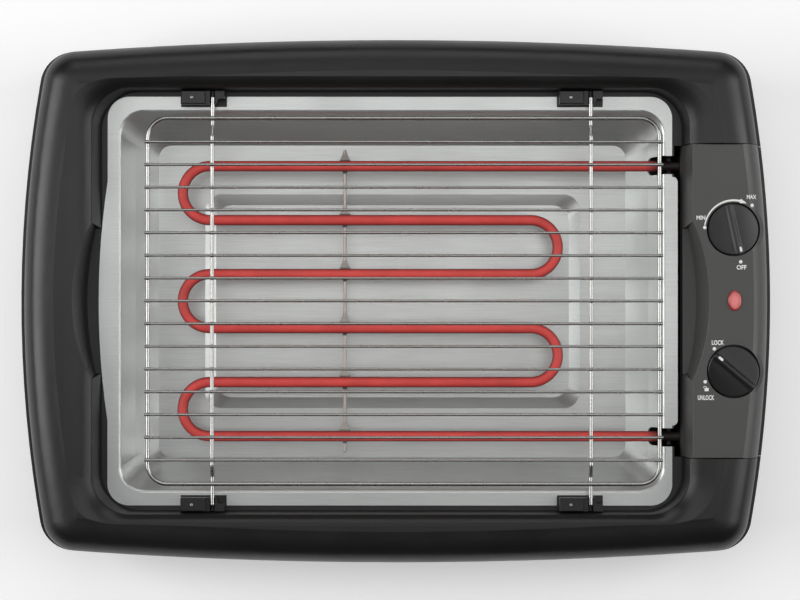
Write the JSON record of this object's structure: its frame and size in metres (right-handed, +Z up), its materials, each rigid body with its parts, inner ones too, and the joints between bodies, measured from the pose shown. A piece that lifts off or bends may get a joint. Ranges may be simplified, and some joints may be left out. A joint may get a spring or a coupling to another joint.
{
  "type": "electric barbecue grill",
  "caption": "Tabletop electric barbecue grill: moulded body with a well, lift-out drip tray, plug-in style heating unit with control knobs, and a wire grate.",
  "frame": {"origin": "on the table, under the middle of the body", "axes": "+X to the control box on the right, +Y to the back, +Z up"},
  "size_m": [0.541, 0.3766, 0.0884],
  "materials": {
    "body_plastic": "fine satin grain",
    "bracket_plastic": "satin",
    "knob_plastic": "satin",
    "rubber": "matt",
    "tray_steel": "brushed",
    "element_sheath": "hot oxidised sheath",
    "grate_chrome": "bright plated wire",
    "support_steel": "plain",
    "zinc_steel": "zinc plated",
    "inner_plastic": "moulded",
    "ceramic": "glazed ceramic",
    "lamp_lens": "clear red lens",
    "lamp_glass": "clear"
  },
  "bodies": {
    "base": {"base_pan": "body_plastic", "top_frame": "body_plastic", "frame_screws": "zinc_steel", "foot_screws": "zinc_steel", "bracket_pins": "zinc_steel", "bracket_back_left": "bracket_plastic", "bracket_back_right": "bracket_plastic", "bracket_front_left": "bracket_plastic", "bracket_front_right": "bracket_plastic", "foot_back_left": "rubber", "foot_back_right": "rubber", "foot_front_left": "rubber", "foot_front_right": "rubber"},
    "drip_tray": {"drip_tray": "tray_steel"},
    "heating_unit": {"control_housing": "body_plastic", "control_cover": "body_plastic", "box_screws": "zinc_steel", "heating_element": "element_sheath", "element_support": "support_steel", "support_clips": "support_steel", "heat_shield": "zinc_steel", "leg_clamps": "zinc_steel", "terminal_insulators": "ceramic", "terminal_pins": "zinc_steel", "thermostat_plate": "zinc_steel", "thermostat": "inner_plastic", "thermostat_nut": "zinc_steel", "pilot_lens": "lamp_lens", "pilot_bulb": "lamp_glass", "safety_switch": "inner_plastic", "terminal_block": "inner_plastic", "cord_gland": "rubber"},
    "safety_plunger": {"safety_plunger": "inner_plastic"},
    "thermostat_knob": {"thermostat_knob": "knob_plastic", "thermostat_shaft": "zinc_steel"},
    "lock_knob": {"lock_knob": "knob_plastic", "lock_shaft": "zinc_steel", "lock_cam": "inner_plastic"},
    "grate": {"grate_frame": "grate_chrome", "grate_bar_left": "grate_chrome", "grate_bar_right": "grate_chrome", "grate_rod_01": "grate_chrome", "grate_rod_02": "grate_chrome", "grate_rod_03": "grate_chrome", "grate_rod_04": "grate_chrome", "grate_rod_05": "grate_chrome", "grate_rod_06": "grate_chrome", "grate_rod_07": "grate_chrome", "grate_rod_08": "grate_chrome", "grate_rod_09": "grate_chrome", "grate_rod_10": "grate_chrome", "grate_rod_11": "grate_chrome", "grate_rod_12": "grate_chrome", "grate_rod_13": "grate_chrome", "grate_rod_14": "grate_chrome", "grate_rod_15": "grate_chrome"}
  },
  "joints": [
    {"name": "tray_lift", "type": "slide", "parent": "base", "child": "drip_tray", "axis": [0, 0, 1], "range_m": [0, 0.12]},
    {"name": "heater_lift", "type": "slide", "parent": "drip_tray", "child": "heating_unit", "axis": [0, 0, 1], "range_m": [0, 0.12]},
    {"name": "grate_lift", "type": "slide", "parent": "heating_unit", "child": "grate", "axis": [0, 0, 1], "range_m": [0, 0.08]},
    {"name": "thermostat_turn", "type": "hinge", "parent": "heating_unit", "child": "thermostat_knob", "pos_m": [0.2395, 0.0508, 0.084], "axis": [0, 0, 1], "range_deg": [-229.8, 0]},
    {"name": "lock_turn", "type": "hinge", "parent": "heating_unit", "child": "lock_knob", "pos_m": [0.2395, -0.0499, 0.084], "axis": [0, 0, 1], "range_deg": [0, 68.7]},
    {"name": "plunger_press", "type": "slide", "parent": "heating_unit", "child": "safety_plunger", "axis": [0, 0, 1], "range_m": [0, 0.0015], "stiffness_N_per_m": 150, "springref_m": -0.003}
  ]
}
